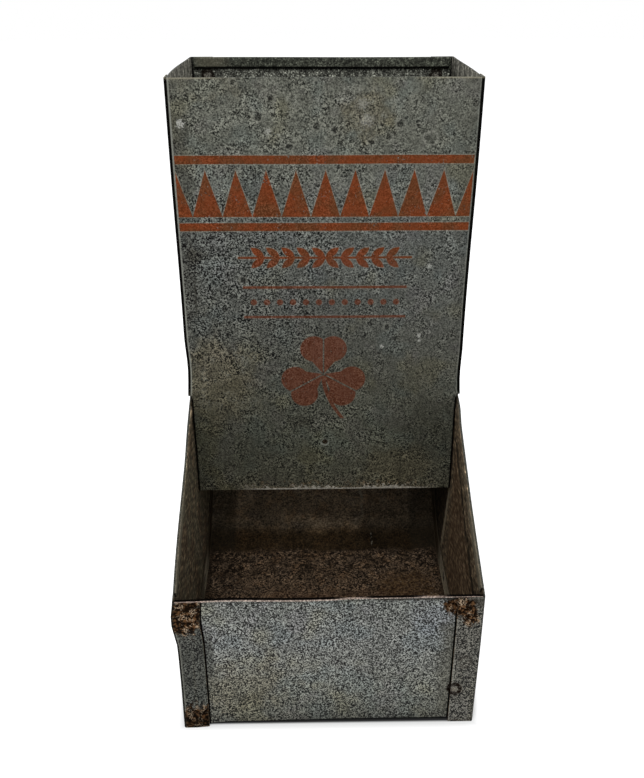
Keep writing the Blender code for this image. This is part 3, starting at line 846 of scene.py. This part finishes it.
def trough_steel():
    """The pan: speckled zinc in front and below, brown with rust and dust inside; painted shade and
    highlights at its edges.
    """
    paint = Paint("trough_steel")
    sideways = abs(paint.x)
    outer, tone, outer_height = pan_zinc(paint)
    # Painted shadow: a near-black line where each side flange meets the front wall
    shade = between(sideways, FLANGE_EDGE - 0.9, FLANGE_EDGE + 1, 0.15)
    outer = blend(0.97 * shade, outer, PAINTED_SHADE_BLACK)
    # Painted shade along the bottom fold, just above the floor
    fold_shade = step(paint.z + 0.6 * paint.cloud(9.0), 4.6, 3.7)
    outer = blend(0.2 * fold_shade, outer, srgb(34, 32, 28))
    rusted = front_rust(paint)
    rusty, rust_height = rust(paint)
    outer = blend(rusted, outer, rusty)

    inside, lines, floor_height = ramp_and_floor(paint)
    upward = step(paint.face_z, 0.12, 0.3)
    behind_wall = step(paint.face_y, 0.3, 0.6) * step(paint.y, WALL + 8, WALL + 6)
    inward = step(paint.outward(), -0.3, -0.6)
    on_flange = larger(inward, step(sideways, PAN_SIDE - 1.3, PAN_SIDE - 0.9))
    on_flange = on_flange * step(paint.y, WALL + 5, WALL + 8)
    inside = blend(0.85 * on_flange, inside, pan_flange(paint, inward, lines))
    within = larger(upward, behind_wall, inward)
    colour = blend(within, outer, inside)
    colour, painted_rim_shade = pan_rim(paint, colour, tone)
    colour, rings = ringed(paint, colour)
    height = outer_height * (1.0 - within) + within * floor_height + rusted * rust_height
    # Painted shade lines, rust and weld rings are fully rough and metallic, so that they stay dark
    dark = larger(painted_rim_shade, shade * (1.0 - within), rusted * (1.0 - within), rings)
    metallic = blend_value(dark, ZINC_METALLIC + 0.35 * within, 1.0)
    return paint.finish(colour, blend_value(dark, 0.55 + 0.3 * within, 1.0), metallic, height)


# Welds with a dark ring: how far the ring lies to one side, and its strength; and the ring's radius
RINGS = {
    "front_weld_right_1": (-1.6, 1.0),
    "front_weld_right_2": (0.0, 0.4),
    "rear_weld_left_4": (0.0, 0.9),
    "rear_weld_right_4": (0.0, 0.9),
}
RING = 3.0


def ringed(paint, colour):
    """A colour with dark rings round spot welds, and where the rings are."""
    wobble = 0.7 * paint.cloud(1.6, 2.0)
    broken = 0.65 + 0.35 * step(paint.cloud(1.2, 1.0), -0.5, 0.0)
    rings = 0.0
    for name, (aside, strength) in RINGS.items():
        low, high = place_of(name)
        away = paint.near((low + high) / 2 + Vector((aside, 0, 0)), (1, 1, 1.15)) + wobble
        pale = strength * (0.3 + 0.35 * paint.cloud(0.9, 1.0))
        colour = blend(pale * step(away, RING + 1.8, RING), colour, srgb(104, 98, 90))
        ring = strength * broken * step(abs(away - RING), 1.25, 0.7)
        colour = blend(ring, colour, srgb(16, 8, 3))
        rings = larger(rings, ring)
    return colour, rings


def side_outside(paint, front, left):
    """Dull zinc with a rough right flange: its colour, its grain and its height."""
    outer, tone, height = galvanised(paint, srgb(80, 81, 75), 1.6 + front * (2.9 - 1.7 * left))
    outer = stain(outer, 0.8 * left * front, (48, 49, 45), tone)
    outer = stain(outer, 0.75 * (1.0 - left) * front, (70, 68, 63), tone)
    scores = step(paint.streaks(1.1, 9), 0.45, 0.9)
    pits = larger(0.6 * scores, 0.9 * paint.spots(2.4, 0.2, 0.3, 0.1)) * front * (1.0 - left)
    outer = blend(pits, outer, srgb(24, 22, 18))
    outer = with_runs(paint, outer, tone)
    return outer, tone, height


def flange_lines(paint, outer, front, left):
    """Painted highlights: pale lines along the edges of the front flanges, where the bends catch the light.
    """
    sideways = abs(paint.x)
    # Painted highlight on the left flange's outer bend
    outer_line = between(sideways, SIDE - 1.8, SIDE - 1.2, 0.2) * front * left
    outer = blend(0.4 * outer_line, outer, srgb(136, 136, 126))
    # Painted highlight along the right flange's inner edge
    flange_line = between(sideways, FLANGE_EDGE + 0.1, FLANGE_EDGE + 0.6, 0.15) * front * (1.0 - left)
    return blend(0.5 * flange_line * step(paint.cloud(4.0, 2.0), -0.3, 0.2), outer, srgb(140, 138, 128))


def side_inside(paint, left):
    """Streaked zinc in the hopper, brown and scarred steel in the trough, with a painted shadow and a painted
    highlight beside it on the right wall.
    """
    on_right = step(paint.x, -1, 1)
    lines = 0.6 * paint.streaks(5.0, 16) + 0.4 * paint.streaks(11.0, 50)
    fine = paint.cloud(1.2, 2.0, 0.6, stretch=(1, 4.0, 1.3))
    bright = 0.6 * lines + 1.5 * paint.streaks(3.4, 20) + 1.1 * fine + 0.05 * left
    light = varied(srgb(126, 124, 114), bright)
    wood = 0.6 * paint.slanted(3.2, 60) + 0.4 * paint.slanted(7.0, 90)
    brown = varied(srgb(95, 82, 65), 0.9 * wood + 1.9 * fine + 0.25 * paint.cloud(9, 2.0))
    green = varied(srgb(104, 99, 82), 0.5 * lines + 1.6 * fine)
    brown = blend(0.7 * left * step(paint.cloud(16, 2.0), -0.6, 0.4), brown, green)
    low = step(paint.z + 8 * paint.cloud(14), 190, 130)
    inner = blend(low, light, brown)
    jagged = paint.z - SLOPE * paint.y - 118 + 4.5 * paint.cloud(9.0, 3.0, 0.6)
    scar = step(abs(jagged), 3.4, 1.2)
    scar = larger(scar, 0.6 * step(abs(jagged + 13 + 2.0 * paint.cloud(7.0)), 2.6, 0.8))
    scar = larger(scar, 0.4 * step(abs(jagged + 24 + 2.0 * paint.cloud(9.0)), 2.4, 0.8)) * on_right
    rust_side = step(jagged, 0, -9) * on_right * step(paint.y, HOPPER_FRONT, HOPPER_FRONT - 12)
    inner = blend(0.35 * rust_side * low, inner, varied(srgb(92, 64, 40), 0.5 * fine))
    inner = blend(0.92 * scar * step(paint.y, HOPPER_FRONT - 2, HOPPER_FRONT - 8), inner, srgb(20, 13, 8))
    depth = (paint.y + 1.2 * paint.cloud(5.0) - 0.24 * (70.0 - paint.z)) * (1.0 - left)
    # Painted shadow on the right wall's inner face, behind a slanted line below the hopper
    painted_shadow = step(depth, 11, 15) * step(paint.z, 96, 86)
    inner = blend(0.78 * painted_shadow, inner, srgb(16, 12, 8))
    # Painted highlight: a pale band along the edge of that painted shadow
    painted_light = between(depth, 7.5, 11.5, 1.2) * between(paint.z, 30, 80, 8)
    return blend(0.8 * painted_light, inner, srgb(160, 148, 126))


def side_edges(paint, colour, tone):
    """The sloped edge with its worn hem, and a painted shade line in the gap beside the back panel."""
    sideways = abs(paint.x)
    hem = step(sideways, SIDE - SHEET - 0.15, SIDE - SHEET - 0.4) * step(paint.y, FRONT + 3, FRONT + 5)
    hem = hem * step(paint.y, HOPPER_FRONT + 6, HOPPER_FRONT) * step(paint.z, 60, 66)
    rough = calculate("EXPONENT", 0.55 * paint.cloud(0.9, 2.0) + 0.25 * paint.cloud(3.0, 2.0))
    worn = step(paint.z + 5 * paint.cloud(9.0), 120, 98)
    colour = blend((0.12 + 0.68 * worn) * hem, colour, scaled(srgb(112, 106, 91), rough))
    cut = step(abs(paint.outward()), 0.6, 0.3) * step(paint.face_y, -0.2, -0.5) * step(paint.z, 74, 80)
    colour = blend(0.7 * cut * step(sideways, 60, 68), colour, scaled(srgb(50, 47, 40), rough))
    tucked = step(paint.face_y, -0.5, -0.8) * step(paint.y, REAR - 3, REAR - 2)
    colour = stain(colour, 0.95 * tucked, (56, 58, 50), tone)
    # Painted shade: a near-black line in the gap beside the back panel
    painted_gap_shade = tucked * step(sideways, SIDE - SHEET - 0.9, SIDE - SHEET - 0.6)
    return blend(0.95 * painted_gap_shade, colour, PAINTED_SHADE_BLACK)


def side_steel():
    """The side panels: dull zinc outside, streaked inside the hopper, brown inside the trough, with painted
    shade on the front bends.
    """
    paint = Paint("side_steel")
    sideways = abs(paint.x)
    front = step(paint.y, FRONT + 3, FRONT + 2) * step(paint.face_y, -0.4, -0.7)
    left = step(paint.x, 1, -1)
    outer, tone, outer_height = side_outside(paint, front, left)
    feet = step(paint.z + 4 * paint.cloud(7.0, 3.0), 7, 1)
    rusty, rust_height = rust(paint)
    outer = blend(0.55 * feet * (0.3 + 0.7 * left), outer, rusty)
    outer = flange_lines(paint, outer, front, left)
    inside = step(paint.outward(), -0.3, -0.6)
    colour = blend(inside, outer, side_inside(paint, left))
    colour = side_edges(paint, colour, tone)
    # Painted shade: near-black on the front bends that turn away from the light, stronger on the left
    painted_bend_shade = step(sideways, SIDE - 1.3, SIDE - 0.9) * step(paint.y, FRONT + 2.4, FRONT + 1.6)
    painted_bend_shade = painted_bend_shade * (1.0 - inside) * (0.35 + 0.65 * left)
    colour = blend(0.85 * painted_bend_shade, colour, PAINTED_SHADE_BLACK)
    rusted = front_rust(paint) * (1.0 - inside)
    colour = blend(rusted * (1.0 - 0.7 * painted_bend_shade), colour, rusty)
    colour, rings = ringed(paint, colour)
    height = outer_height + rusted * rust_height
    # The painted bend shade is fully rough
    roughness = blend_value(painted_bend_shade, 0.58 + 0.2 * larger(rusted, 0.6 * inside), 1.0)
    metallic = blend_value(larger(rusted, rings), ZINC_METALLIC * (1.0 - larger(inside, painted_bend_shade)), 1.0)
    return paint.finish(colour, roughness, metallic, height)


def back_steel():
    """The back panel: dull zinc with a dusty inner face, painted shade lines under its hem and at its sides.
    """
    paint = Paint("back_steel")
    sideways = abs(paint.x)
    outer, tone, outer_height = galvanised(paint, srgb(78, 79, 73), 1.3)
    outer = with_runs(paint, outer, tone)
    lines = paint.streaks(1.8, 22)
    fine = paint.cloud(0.8, 1.0)
    specks = 0.4 * lines + 1.8 * fine + 1.2 * paint.cloud(2.2, 2.0)
    inner = varied(srgb(84, 85, 78), specks)
    inner = blend(0.5 * step(paint.z, 170, 110), inner, scaled(srgb(60, 52, 40), 0.95 + 0.3 * fine))
    inside = step(paint.face_y, -0.3, -0.5)
    colour = blend(inside, outer, inner)
    hem = step(paint.z, TOP - 6.6, TOP - 6.2)
    pale = step(abs(paint.x + 64) + 2 * paint.cloud(5.0), 13, 5)
    dark_hem = varied(srgb(62, 64, 56), 1.4 * fine + 0.6 * paint.cloud(2.6, 2.0))
    hem_colour = blend(0.6 * pale, dark_hem, scaled(srgb(100, 97, 82), 1.0 + 0.3 * fine))
    colour = blend(hem, colour, hem_colour)
    # Painted shadow: a near-black line under the hem
    painted_shadow = between(paint.z, TOP - 6.5, TOP - 5.1, 0.2) * inside
    colour = blend(0.95 * painted_shadow, colour, PAINTED_SHADE_BLACK)
    # Painted shade: near-black lines in the gaps where the back meets the sides
    painted_corner_shade = step(sideways, PAN_SIDE - 1.3, PAN_SIDE - 0.9) * step(paint.y, REAR, REAR - 0.5)
    colour = blend(0.95 * painted_corner_shade * step(paint.face_y, 0.5, 0.0), colour, PAINTED_SHADE_BLACK)
    colour, rings = ringed(paint, colour)
    metallic = blend_value(larger(painted_shadow, rings), ZINC_METALLIC - 0.15 * inside, 1.0)
    return paint.finish(colour, 0.62, metallic, outer_height)


def weld_steel():
    """A spot weld's face: dull, dark in places, and rusted where the sheet round it is."""
    paint = Paint("weld_steel")
    rusty, rust_height = rust(paint)
    outer, _, height = galvanised(paint, srgb(94, 92, 84), 2.6, 0.4)
    outer = blend(0.6 * step(paint.cloud(1.4, 3.0), 0.1, 0.6), outer, srgb(34, 29, 23))
    low = step(paint.z + 6 * paint.cloud(4.0), 26, 14)
    rusted = larger(front_rust(paint), 0.6 * low)
    colour, rings = ringed(paint, blend(rusted, outer, rusty))
    metallic = blend_value(larger(rusted, rings), 0.15, 1.0)
    return paint.finish(colour, 0.7, metallic, height + rusted * rust_height)


# Sheets: the source's solids, cut finely and bent a little as the real ones are. The largest face, the angle
# from which an edge is sharp, the length, depth and seed of the sheets' waves, the height from which a push
# up or down acts in full, and how near, in metres, two vertices or a vertex and a cut count as one

SLICE = 6.0
CREASE = math.radians(34)
WAVE = 70.0
WAVE_DEPTH = 0.25
WAVE_SEED = 7
STANDING = 3.0
SAME_VERTEX = 0.5e-6
SAME_CUT = 1e-7

# Dents: place, reach along x, y and z, and push
DENTS = (
    ((-SIDE, FRONT, 69.0), (25, 40, 17), (-1.9, 0, 0)),
    ((-SIDE, -92.0, 70.0), (60, 100, 140), (-0.9, 0, 0)),
    ((-SIDE, -72.0, 99.0), (60, 85, 60), (-0.8, 0, 0)),
    ((-SIDE, -8.0, 130.0), (20, 34, 22), (-0.5, 0, 0)),
    ((-SIDE, HOPPER_FRONT, 200.0), (60, 120, 200), (-0.35, 0, 0)),
    ((-SIDE, 36.0, TOP), (60, 66, 150), (-2.0, 0, 0)),
    ((-SIDE, HOPPER_FRONT, 161.0), (20, 60, 20), (0.9, 0, 0)),
    ((SIDE, FRONT, 40.0), (60, 60, 150), (0.9, 0, 0)),
    ((SIDE, HOPPER_FRONT, 200.0), (60, 120, 120), (-0.75, 0, 0)),
    ((SIDE, HOPPER_FRONT, 157.0), (20, 60, 16), (-0.5, 0, 0)),
    ((SIDE, -3.0, 140.0), (20, 15, 12), (0.7, 0, 0)),
    ((SIDE, 40.0, TOP), (60, 40, 60), (0.4, 0, 0)),
    ((-SIDE, FRONT, TROUGH_TOP), (30, 14, 16), (0, 0, -0.6)),
    ((-50.0, FRONT, TROUGH_TOP), (20, 14, 16), (0, 0, 0.25)),
    ((-14.0, FRONT, TROUGH_TOP), (32, 14, 16), (0, 0, -0.45)),
    ((SIDE, FRONT, TROUGH_TOP), (110, 14, 16), (0, 0, 0.7)),
    ((-60.0, FRONT, 3.0), (85, 12, 12), (0, 0, -1.3)),
    ((0.0, FRONT, 3.0), (400, 12, 14), (0, 0, -1.9)),
    ((-73.0, FRONT, 0.0), (24, 14, 30), (0, -1.9, 0)),
)


# Without a seed the waves would differ from run to run
noise.seed_set(WAVE_SEED)


def push_at(point):
    """How far the sheet is pushed there. The feet stay on the floor."""
    push = Vector((0.0, 0.0, 0.0))
    for place, size, amount in DENTS:
        away = math.sqrt(sum(((point[i] - place[i]) / size[i]) ** 2 for i in range(3)))
        if away < 1.0:
            push += (1.0 - away * away * (3.0 - 2.0 * away)) * Vector(amount)
    push += noise.noise_vector(point / WAVE) * WAVE_DEPTH
    push.z *= min(1.0, point.z / STANDING)
    return push


def bend(bm):
    """Bends a mesh in metres and keeps where its vertices were."""
    unbent = bm.verts.layers.float_vector.new(UNBENT)
    for vertex in bm.verts:
        vertex[unbent] = vertex.co / MM
        vertex.co += push_at(vertex[unbent]) * MM


def add_piece(name, bm, material, node):
    """Adds a mesh that stands in for a node of the frame."""
    for face in bm.faces:
        face.smooth = True
    mesh = bpy.data.meshes.new(name)
    bm.to_mesh(mesh)
    bm.free()
    mesh.set_sharp_from_angle(angle=CREASE)
    mesh.materials.append(material)
    piece = bpy.data.objects.new(name, mesh)
    bpy.context.scene.collection.objects.link(piece)
    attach(piece, "root")
    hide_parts(node)


def add_sheet(node, material, slot):
    """The node's own solid in small faces, bent."""
    bm = bmesh.new()
    bm.from_mesh(frame["nodes"][node].data)
    bmesh.ops.remove_doubles(bm, verts=bm.verts, dist=SAME_VERTEX)
    low, high = place_of(node)
    for axis in range(3):
        normal = [0.0, 0.0, 0.0]
        normal[axis] = 1.0
        count = int((high[axis] - low[axis]) / SLICE)
        for index in range(1, count):
            cut = [0.0, 0.0, 0.0]
            cut[axis] = (low[axis] + (high[axis] - low[axis]) * index / count) * MM
            parts = bm.verts[:] + bm.edges[:] + bm.faces[:]
            bmesh.ops.bisect_plane(bm, geom=parts, plane_co=cut, plane_no=normal, dist=SAME_CUT)
    bend(bm)
    add_piece(node + "_sheet", bm, material, node)


# Spot welds: radius and height above the sheet's face, from the middle outwards

WELD_PROFILE = ((0.0, -0.14), (1.3, -0.12), (2.0, -0.02), (2.45, 0.10), (2.85, 0.08), (3.15, -0.05))
WELD_SIDES = 28
WELD_RAGGED = 0.05
WELD_RAGGED_REACH = 1.5


def add_weld(node, material, slot):
    """A dished face on both sides of the two sheets that the weld joins."""
    low, high = place_of(node)
    axis = min(range(3), key=lambda index: high[index] - low[index])
    first = (axis + 1) % 3
    second = (axis + 2) % 3
    middle = (low + high) / 2
    bm = bmesh.new()

    def vertex(radius, turn, side, height):
        point = middle.copy()
        aside = Vector((math.cos(turn), math.sin(turn), 0)) * WELD_RAGGED_REACH
        ragged = radius * (1.0 + WELD_RAGGED * noise.noise(middle + aside))
        point[first] += ragged * math.cos(turn)
        point[second] += ragged * math.sin(turn)
        point[axis] += side * ((high[axis] - low[axis]) / 2 + height)
        return bm.verts.new(point * MM)

    rings = []
    for side in (-1, 1):
        for radius, height in WELD_PROFILE if side < 0 else reversed(WELD_PROFILE):
            if radius == 0.0:
                rings.append([vertex(0.0, 0.0, side, height)])
                continue
            turns = (index * 2 * math.pi / WELD_SIDES for index in range(WELD_SIDES))
            rings.append([vertex(radius, turn, side, height) for turn in turns])
    for ring, following in zip(rings, rings[1:]):
        for index in range(WELD_SIDES):
            after = (index + 1) % WELD_SIDES
            if len(ring) == 1:
                bm.faces.new((ring[0], following[after], following[index]))
            elif len(following) == 1:
                bm.faces.new((ring[index], ring[after], following[0]))
            else:
                bm.faces.new((ring[index], ring[after], following[after], following[index]))
    bmesh.ops.recalc_face_normals(bm, faces=bm.faces)
    bend(bm)
    add_piece(node + "_face", bm, material, node)


# The camera, fitted to the photograph: focal length, size and axis in pixels, turns in radians, and its place

FOCAL_PIXELS = 883.0
IMAGE_WIDTH = 644
IMAGE_HEIGHT = 778
AXIS_X = 316.8
AXIS_Y = 389.2
SENSOR = 36.0
CAMERA_TILT = 0.4586
CAMERA_YAW = 0.016
CAMERA_ROLL = -0.001
CAMERA_PLACE = (-11.8, -443.2, 368.7)
CLIP_START = 0.01


def add_camera():
    """A camera at the photograph's viewing angle."""
    forward = Vector(
        (
            math.sin(CAMERA_YAW) * math.cos(CAMERA_TILT),
            math.cos(CAMERA_YAW) * math.cos(CAMERA_TILT),
            -math.sin(CAMERA_TILT),
        )
    )
    level = Vector((math.cos(CAMERA_YAW), -math.sin(CAMERA_YAW), 0))
    upward = level.cross(forward)
    right = math.cos(CAMERA_ROLL) * level + math.sin(CAMERA_ROLL) * upward
    above = math.cos(CAMERA_ROLL) * upward - math.sin(CAMERA_ROLL) * level
    data = bpy.data.cameras.new("camera")
    data.sensor_width = SENSOR
    data.lens = FOCAL_PIXELS / IMAGE_HEIGHT * SENSOR
    data.shift_x = (IMAGE_WIDTH / 2 - AXIS_X) / IMAGE_HEIGHT
    data.shift_y = (AXIS_Y - IMAGE_HEIGHT / 2) / IMAGE_HEIGHT
    data.clip_start = CLIP_START
    camera = bpy.data.objects.new("camera", data)
    turn = Matrix((right, above, -forward)).transposed().to_4x4()
    camera.matrix_world = Matrix.Translation(Vector(CAMERA_PLACE) * MM) @ turn
    bpy.context.scene.collection.objects.link(camera)
    bpy.context.scene.camera = camera


# Floor, sky and light, with lengths in metres: the floor's half width, its colours, how far its painted
# shadow under the feeder reaches out of the feeder's outline, and how far from there its glow starts and is
# full

FLOOR_HALF = 4.0
FLOOR = (0.88, 0.88, 0.88)
PAINTED_SHADOW_UNDERNEATH = (0.03, 0.03, 0.03)
PAINTED_SHADOW_EDGE = (-0.0012, 0.0006)
FLOOR_GLOW = 0.6
GLOW_START = -0.0004
GLOW_REACH = 0.010
SKY = 0.55
SKY_COLOUR = (0.98, 0.99, 1.0)
KEY_PLACE = (-0.25, -1.55, 2.75)
KEY_TARGET = (0, 0, 0.15)
KEY_SIZE = 1.4
KEY_POWER = 62


def seen_directly(tree):
    """1 for the camera's rays, and for what gloss and glass show."""
    light = tree.nodes.new("ShaderNodeLightPath")
    rays = ("Is Camera Ray", "Is Glossy Ray", "Is Transmission Ray")
    return larger(*(Field(light.outputs[ray]) for ray in rays))


def add_floor():
    """A pale floor that is white where no shadow falls, and painted dark right under the feeder as its
    shadow.
    """
    mesh = bpy.data.meshes.new("floor")
    bm = bmesh.new()
    bmesh.ops.create_grid(bm, x_segments=1, y_segments=1, size=FLOOR_HALF)
    bm.to_mesh(mesh)
    bm.free()
    floor = bpy.data.objects.new("floor", mesh)
    bpy.context.scene.collection.objects.link(floor)
    material, tree, shader = new_material("floor")
    plug(shader.inputs["Roughness"], 0.9)
    plug(shader.inputs["Specular IOR Level"], 0.0)
    plug(shader.inputs["Emission Color"], (1, 1, 1))
    place = tree.nodes.new("ShaderNodeTexCoord")
    parts = tree.nodes.new("ShaderNodeSeparateXYZ")
    tree.links.new(place.outputs["Object"], parts.inputs[0])
    away = larger(abs(Field(parts.outputs[0])) - SIDE * MM, abs(Field(parts.outputs[1])) - REAR * MM)
    # Painted shadow: the floor's colour is near-black under the feeder's outline
    plug(shader.inputs["Base Color"], blend(step(away, *PAINTED_SHADOW_EDGE), PAINTED_SHADOW_UNDERNEATH, FLOOR))
    glow = step(away, GLOW_START, GLOW_REACH) * FLOOR_GLOW
    plug(shader.inputs["Emission Strength"], seen_directly(tree) * glow)
    mesh.materials.append(material)


def add_world():
    """A soft sky that looks white to the camera and in reflections."""
    world = bpy.data.worlds.new("studio")
    bpy.context.scene.world = world
    world.use_nodes = True
    tree = world.node_tree
    tree.nodes.clear()
    mix = tree.nodes.new("ShaderNodeMixShader")
    plug(mix.inputs[0], seen_directly(tree))
    for index, colour, strength in ((1, SKY_COLOUR, SKY), (2, (1, 1, 1), 1.0)):
        background = tree.nodes.new("ShaderNodeBackground")
        plug(background.inputs["Color"], colour)
        plug(background.inputs["Strength"], strength)
        tree.links.new(background.outputs[0], mix.inputs[index])
    output = tree.nodes.new("ShaderNodeOutputWorld")
    tree.links.new(mix.outputs[0], output.inputs[0])


def add_light():
    """A large soft lamp in front of the feeder, high up."""
    data = bpy.data.lights.new("key", "AREA")
    data.shape = "RECTANGLE"
    data.size = KEY_SIZE
    data.size_y = KEY_SIZE
    data.energy = KEY_POWER
    light = bpy.data.objects.new("key", data)
    light.location = KEY_PLACE
    light.rotation_euler = (Vector(KEY_TARGET) - Vector(KEY_PLACE)).to_track_quat("-Z", "Y").to_euler()
    bpy.context.scene.collection.objects.link(light)


# Every subpart of the frame is one of the five sheets or a spot weld

SHEETS = ("left_side_panel", "right_side_panel", "back_panel", "hopper_front_panel", "trough_pan")
PAINTS = {
    "hopper_steel": hopper_steel,
    "trough_steel": trough_steel,
    "side_steel": side_steel,
    "back_steel": back_steel,
    "weld": weld_steel,
}

materials = {slot: make() for slot, make in PAINTS.items()}
for row in frame["record"]["subparts"]:
    build = add_sheet if row["node"] in SHEETS else add_weld
    build(row["node"], materials[row["material_slot"]], row["material_slot"])

add_floor()
add_world()
add_light()
add_camera()
bpy.context.scene.view_settings.view_transform = "Standard"
